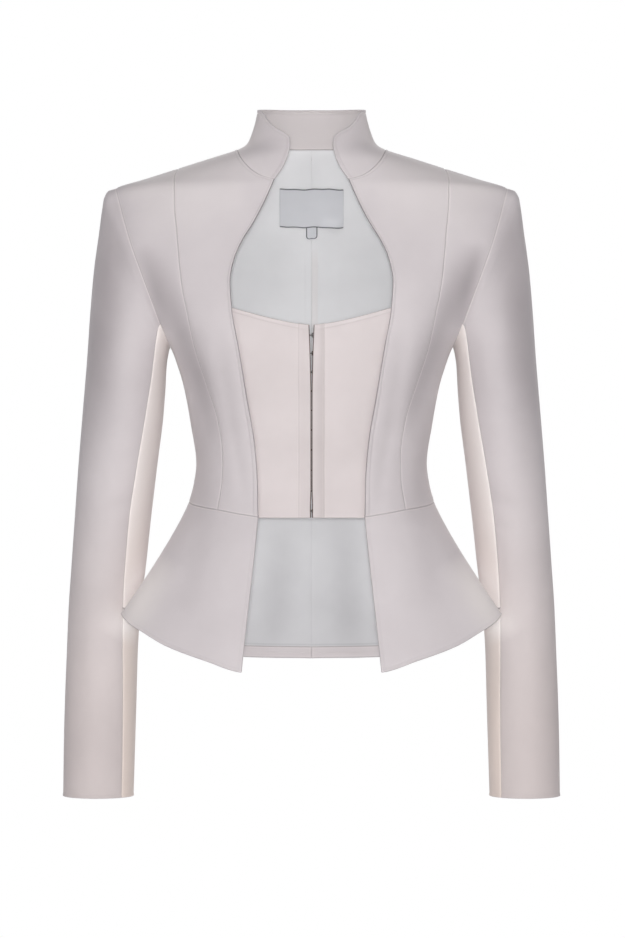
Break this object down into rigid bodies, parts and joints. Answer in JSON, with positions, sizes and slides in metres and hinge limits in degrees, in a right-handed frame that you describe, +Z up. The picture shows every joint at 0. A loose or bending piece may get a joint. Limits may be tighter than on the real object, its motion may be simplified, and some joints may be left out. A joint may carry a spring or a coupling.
{
  "type": "peplum jacket",
  "caption": "Fitted long-sleeved jacket with a stand collar, open keyhole front, hooked insert bodice and flared peplum, standing hollow as worn.",
  "frame": {"origin": "between the shoulders at the base of the neck, where the wearer holds the jacket up", "axes": "+Z up, the open front faces -Y, +X is to the right in a view of the front"},
  "size_m": [0.5092, 0.2481, 0.7051],
  "materials": {
    "shell": "smooth matte crepe, pale blush",
    "insert": "smooth matte crepe, warmer",
    "lining": "soft satin, cool grey-white",
    "label": "woven satin, bare",
    "metal": "small bright wire"
  },
  "bodies": {
    "root": {"back_centre_left": "shell", "back_centre_right": "shell", "back_lining_left": "lining", "back_lining_right": "lining", "back_side_left": "shell", "back_side_right": "shell", "bodice_band_left": "insert", "bodice_band_right": "insert", "bodice_left": "insert", "bodice_right": "insert", "collar": "shell", "eye_01": "metal", "eye_02": "metal", "eye_03": "metal", "eye_04": "metal", "eye_05": "metal", "eye_06": "metal", "eye_07": "metal", "eye_08": "metal", "eye_09": "metal", "eye_10": "metal", "front_centre_left": "shell", "front_centre_right": "shell", "front_side_left": "shell", "front_side_right": "shell", "hem_facing_left": "shell", "hem_facing_right": "shell", "hook_01": "metal", "hook_02": "metal", "hook_03": "metal", "hook_04": "metal", "hook_05": "metal", "hook_06": "metal", "hook_07": "metal", "hook_08": "metal", "hook_09": "metal", "hook_10": "metal", "label_main": "label", "label_size": "label", "peplum_back_left": "shell", "peplum_back_right": "shell", "peplum_front_left": "shell", "peplum_front_right": "shell", "peplum_lining_left": "lining", "peplum_lining_right": "lining", "sleeve_top_left": "shell", "sleeve_top_right": "shell", "sleeve_under_left": "shell", "sleeve_under_right": "shell"}
  },
  "joints": []
}
